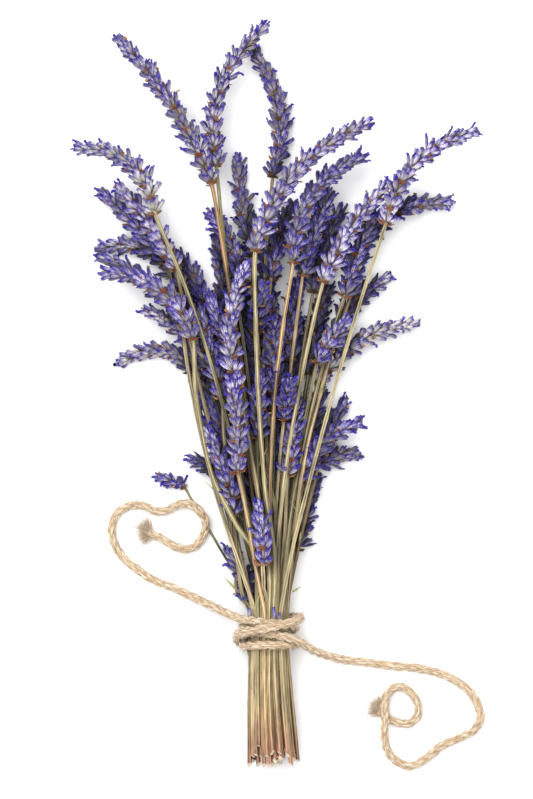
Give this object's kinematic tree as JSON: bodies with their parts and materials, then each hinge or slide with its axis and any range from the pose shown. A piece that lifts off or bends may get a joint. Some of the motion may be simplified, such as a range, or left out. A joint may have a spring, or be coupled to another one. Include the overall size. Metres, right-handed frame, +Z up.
{
  "type": "bunch of dried lavender",
  "caption": "Bunch of dried lavender sprigs lying flat, fanned out from a tie of jute twine with two loose frayed tails",
  "frame": {"origin": "on the table, under the middle of the tied bunch without its two free twine tails", "axes": "+Z up from the table, +Y from the cut ends towards the flowers, +X to the right when seen from above with the flowers away from you"},
  "size_m": [0.2043, 0.3738, 0.0409],
  "materials": {
    "lavender_lilac": "dry, matt, downy",
    "lavender_violet": "dry, matt, downy",
    "lavender_slate": "dry, matt, downy",
    "lavender_cream": "dry, matt, downy",
    "jute": "coarse, hairy, matt"
  },
  "bodies": {
    "root": {"sprig_01": "lavender_cream", "sprig_02": "lavender_lilac", "sprig_03": "lavender_violet", "sprig_04": "lavender_lilac", "sprig_05": "lavender_cream", "sprig_06": "lavender_lilac", "sprig_07": "lavender_cream", "sprig_08": "lavender_cream", "sprig_09": "lavender_violet", "sprig_10": "lavender_lilac", "sprig_11": "lavender_violet", "sprig_12": "lavender_violet", "sprig_13": "lavender_slate", "sprig_14": "lavender_violet", "sprig_15": "lavender_slate", "sprig_16": "lavender_slate", "sprig_17": "lavender_slate", "sprig_18": "lavender_slate", "sprig_19": "lavender_slate", "sprig_20": "lavender_lilac", "sprig_21": "lavender_violet", "sprig_22": "lavender_violet", "sprig_23": "lavender_violet", "sprig_24": "lavender_slate", "sprig_25": "lavender_violet", "sprig_26": "lavender_lilac", "sprig_27": "lavender_lilac", "sprig_28": "lavender_violet", "sprig_29": "lavender_violet", "sprig_30": "lavender_violet", "sprig_31": "lavender_violet", "sprig_32": "lavender_violet", "sprig_33": "lavender_violet", "sprig_34": "lavender_violet", "sprig_35": "lavender_violet", "sprig_36": "lavender_violet", "sprig_37": "lavender_violet", "sprig_38": "lavender_slate", "sprig_39": "lavender_lilac", "sprig_40": "lavender_violet", "sprig_41": "lavender_lilac", "sprig_42": "lavender_violet", "sprig_43": "lavender_slate", "sprig_44": "lavender_cream", "sprig_45": "lavender_violet", "sprig_46": "lavender_violet", "sprig_47": "lavender_violet", "sprig_48": "lavender_violet", "sprig_49": "lavender_slate", "sprig_50": "lavender_violet", "sprig_51": "lavender_slate", "sprig_52": "lavender_violet", "sprig_53": "lavender_slate", "sprig_54": "lavender_slate", "sprig_55": "lavender_violet", "sprig_56": "lavender_slate", "sprig_57": "lavender_violet", "twine_tie": "jute", "twine_tail_left": "jute", "twine_tail_right": "jute"}
  },
  "joints": []
}
